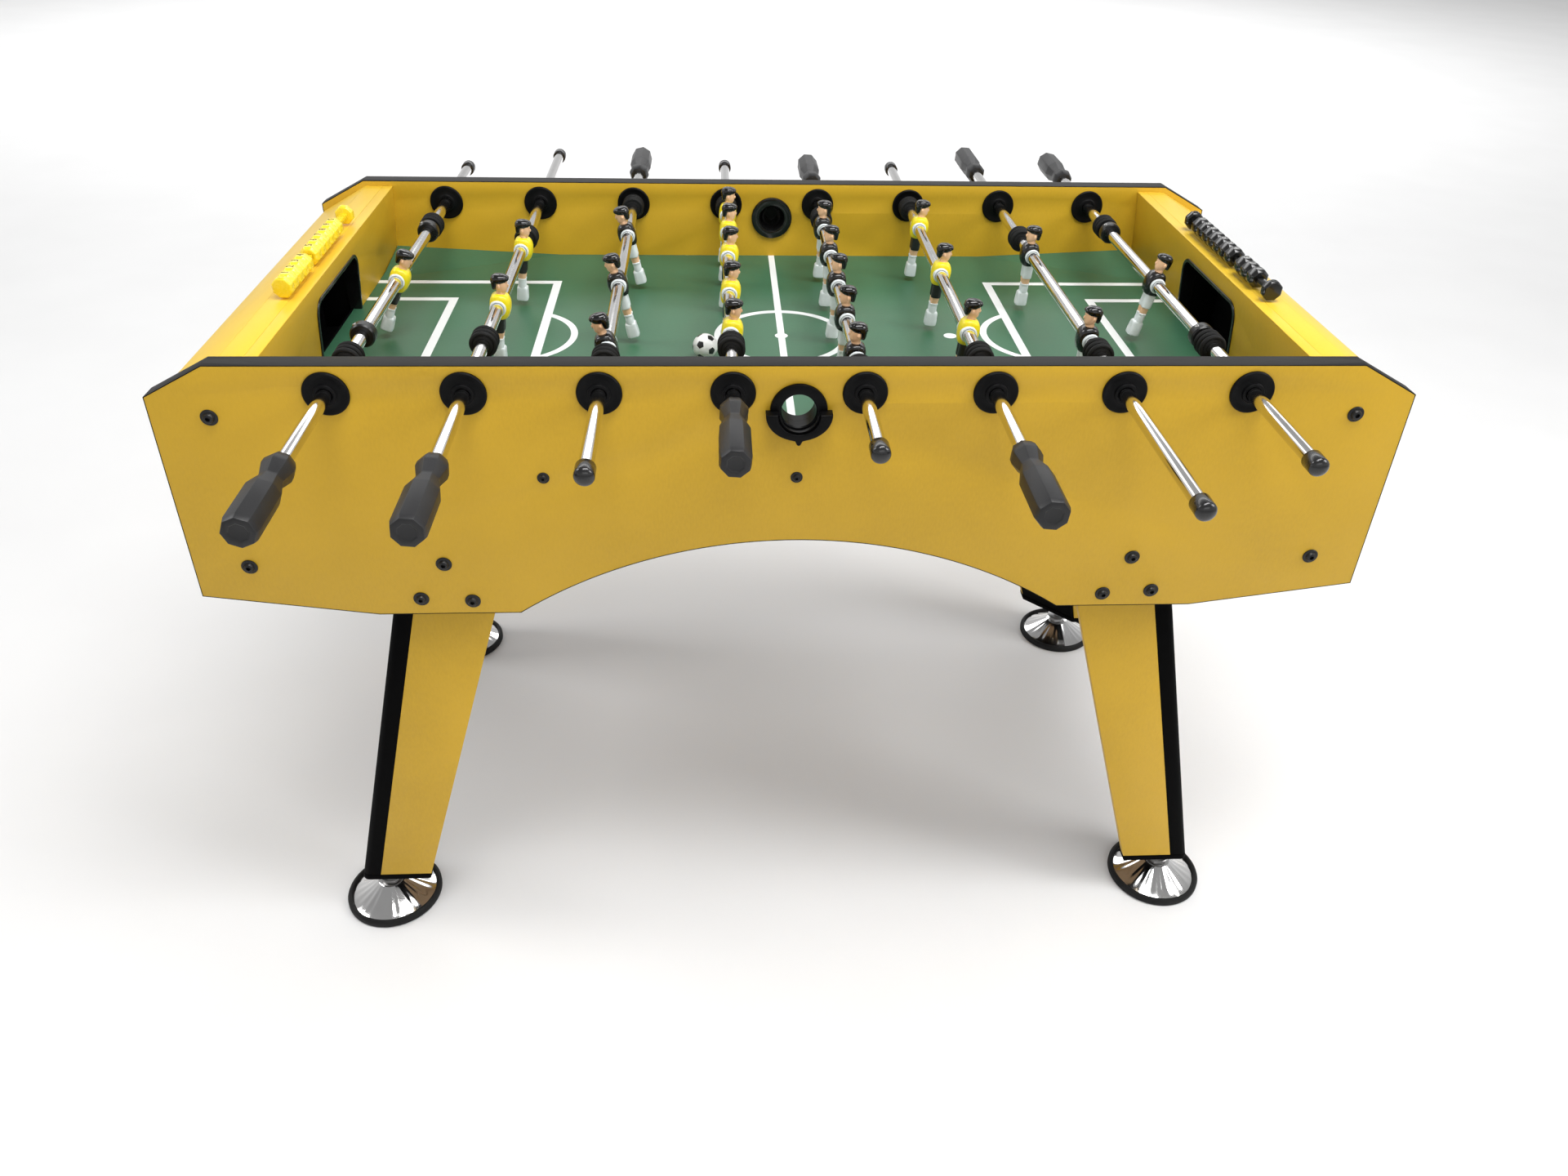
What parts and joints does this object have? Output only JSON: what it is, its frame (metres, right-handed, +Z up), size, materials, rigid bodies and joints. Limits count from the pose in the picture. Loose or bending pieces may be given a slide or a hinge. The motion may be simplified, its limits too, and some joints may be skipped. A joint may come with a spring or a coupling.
{
  "type": "foosball table",
  "caption": "Foosball table with sliding and turning rods of men over a sunken green pitch, two goals, bead score counters and splayed legs on levelling feet.",
  "frame": {"origin": "on the floor, under the middle of the table", "axes": "+Z up, +X along the length towards the black team's end, -Y towards the near side where the yellow team's grips are"},
  "size_m": [1.412, 1.272, 0.8993],
  "materials": {
    "yellow_laminate": "satin melamine laminate on fibreboard",
    "pitch_green": "printed satin laminate",
    "rod_steel": "polished chromed steel tube",
    "foot_chrome": "polished chromed steel",
    "black_plastic": "satin black moulded plastic",
    "grip_grey": "matt dark grey moulded plastic",
    "yellow_men": "painted glossy plastic",
    "black_men": "painted glossy plastic",
    "yellow_plastic": "glossy yellow moulded plastic",
    "black_gloss": "glossy black moulded plastic",
    "ball_white": "glossy white plastic with black patches"
  },
  "bodies": {
    "table": {"pitch_board": "pitch_green", "near_side_panel": "yellow_laminate", "far_side_panel": "yellow_laminate", "left_goal_end": "yellow_laminate", "right_goal_end": "yellow_laminate", "left_end_panel": "yellow_laminate", "right_end_panel": "yellow_laminate", "near_left_leg": "yellow_laminate", "near_right_leg": "yellow_laminate", "far_left_leg": "yellow_laminate", "far_right_leg": "yellow_laminate", "near_ball_cup": "black_plastic", "far_ball_cup": "black_plastic", "left_counter_rail": "yellow_plastic", "right_counter_rail": "black_gloss"},
    "near_left_foot": {"near_left_foot": "foot_chrome"},
    "near_right_foot": {"near_right_foot": "foot_chrome"},
    "far_left_foot": {"far_left_foot": "foot_chrome"},
    "far_right_foot": {"far_right_foot": "foot_chrome"},
    "left_counter_beads": {"left_counter_beads": "yellow_plastic"},
    "right_counter_beads": {"right_counter_beads": "black_gloss"},
    "rod_1": {"rod_1_tube": "rod_steel"},
    "rod_1_players": {"rod_1_grip": "grip_grey", "rod_1_man_1": "yellow_men"},
    "rod_2": {"rod_2_tube": "rod_steel"},
    "rod_2_players": {"rod_2_grip": "grip_grey", "rod_2_man_1": "yellow_men", "rod_2_man_2": "yellow_men"},
    "rod_3": {"rod_3_tube": "rod_steel"},
    "rod_3_players": {"rod_3_grip": "grip_grey", "rod_3_man_1": "black_men", "rod_3_man_2": "black_men", "rod_3_man_3": "black_men"},
    "rod_4": {"rod_4_tube": "rod_steel"},
    "rod_4_players": {"rod_4_grip": "grip_grey", "rod_4_man_1": "yellow_men", "rod_4_man_2": "yellow_men", "rod_4_man_3": "yellow_men", "rod_4_man_4": "yellow_men", "rod_4_man_5": "yellow_men"},
    "rod_5": {"rod_5_tube": "rod_steel"},
    "rod_5_players": {"rod_5_grip": "grip_grey", "rod_5_man_1": "black_men", "rod_5_man_2": "black_men", "rod_5_man_3": "black_men", "rod_5_man_4": "black_men", "rod_5_man_5": "black_men"},
    "rod_6": {"rod_6_tube": "rod_steel"},
    "rod_6_players": {"rod_6_grip": "grip_grey", "rod_6_man_1": "yellow_men", "rod_6_man_2": "yellow_men", "rod_6_man_3": "yellow_men"},
    "rod_7": {"rod_7_tube": "rod_steel"},
    "rod_7_players": {"rod_7_grip": "grip_grey", "rod_7_man_1": "black_men", "rod_7_man_2": "black_men"},
    "rod_8": {"rod_8_tube": "rod_steel"},
    "rod_8_players": {"rod_8_grip": "grip_grey", "rod_8_man_1": "black_men"},
    "ball": {"ball": "ball_white"}
  },
  "joints": [
    {"name": "near_left_foot_level", "type": "slide", "parent": "table", "child": "near_left_foot", "axis": [0, 0, 1], "range_m": [-0.02, 0]},
    {"name": "near_right_foot_level", "type": "slide", "parent": "table", "child": "near_right_foot", "axis": [0, 0, 1], "range_m": [-0.02, 0]},
    {"name": "far_left_foot_level", "type": "slide", "parent": "table", "child": "far_left_foot", "axis": [0, 0, 1], "range_m": [-0.02, 0]},
    {"name": "far_right_foot_level", "type": "slide", "parent": "table", "child": "far_right_foot", "axis": [0, 0, 1], "range_m": [-0.02, 0]},
    {"name": "left_beads_slide", "type": "slide", "parent": "table", "child": "left_counter_beads", "axis": [0, 1, 0], "range_m": [-0.015, 0.042]},
    {"name": "right_beads_slide", "type": "slide", "parent": "table", "child": "right_counter_beads", "axis": [0, 1, 0], "range_m": [-0.029, 0.015]},
    {"name": "rod_1_slide", "type": "slide", "parent": "table", "child": "rod_1", "axis": [0, 1, 0], "range_m": [-0.052, 0.099]},
    {"name": "rod_1_spin", "type": "hinge", "parent": "rod_1", "child": "rod_1_players", "pos_m": [-0.508, 0, 0.848], "axis": [0, 1, 0], "continuous": true},
    {"name": "rod_2_slide", "type": "slide", "parent": "table", "child": "rod_2", "axis": [0, 1, 0], "range_m": [-0.099, 0.146]},
    {"name": "rod_2_spin", "type": "hinge", "parent": "rod_2", "child": "rod_2_players", "pos_m": [-0.36286, 0, 0.848], "axis": [0, 1, 0], "continuous": true},
    {"name": "rod_3_slide", "type": "slide", "parent": "table", "child": "rod_3", "axis": [0, 1, 0], "range_m": [-0.047, 0.106]},
    {"name": "rod_3_spin", "type": "hinge", "parent": "rod_3", "child": "rod_3_players", "pos_m": [-0.21771, 0, 0.848], "axis": [0, 1, 0], "continuous": true},
    {"name": "rod_4_slide", "type": "slide", "parent": "table", "child": "rod_4", "axis": [0, 1, 0], "range_m": [-0.084, 0.007]},
    {"name": "rod_4_spin", "type": "hinge", "parent": "rod_4", "child": "rod_4_players", "pos_m": [-0.07257, 0, 0.848], "axis": [0, 1, 0], "continuous": true},
    {"name": "rod_5_slide", "type": "slide", "parent": "table", "child": "rod_5", "axis": [0, 1, 0], "range_m": [-0.017, 0.056]},
    {"name": "rod_5_spin", "type": "hinge", "parent": "rod_5", "child": "rod_5_players", "pos_m": [0.07257, 0, 0.848], "axis": [0, 1, 0], "continuous": true},
    {"name": "rod_6_slide", "type": "slide", "parent": "table", "child": "rod_6", "axis": [0, 1, 0], "range_m": [-0.054, 0.066]},
    {"name": "rod_6_spin", "type": "hinge", "parent": "rod_6", "child": "rod_6_players", "pos_m": [0.21771, 0, 0.848], "axis": [0, 1, 0], "continuous": true},
    {"name": "rod_7_slide", "type": "slide", "parent": "table", "child": "rod_7", "axis": [0, 1, 0], "range_m": [-0.064, 0.144]},
    {"name": "rod_7_spin", "type": "hinge", "parent": "rod_7", "child": "rod_7_players", "pos_m": [0.36286, 0, 0.848], "axis": [0, 1, 0], "continuous": true},
    {"name": "rod_8_slide", "type": "slide", "parent": "table", "child": "rod_8", "axis": [0, 1, 0], "range_m": [-0.09, 0.086]},
    {"name": "rod_8_spin", "type": "hinge", "parent": "rod_8", "child": "rod_8_players", "pos_m": [0.508, 0, 0.848], "axis": [0, 1, 0], "continuous": true},
    {"name": "ball_roll", "type": "slide", "parent": "table", "child": "ball", "axis": [1, 0, 0], "range_m": [-0.22, 0.68]}
  ]
}
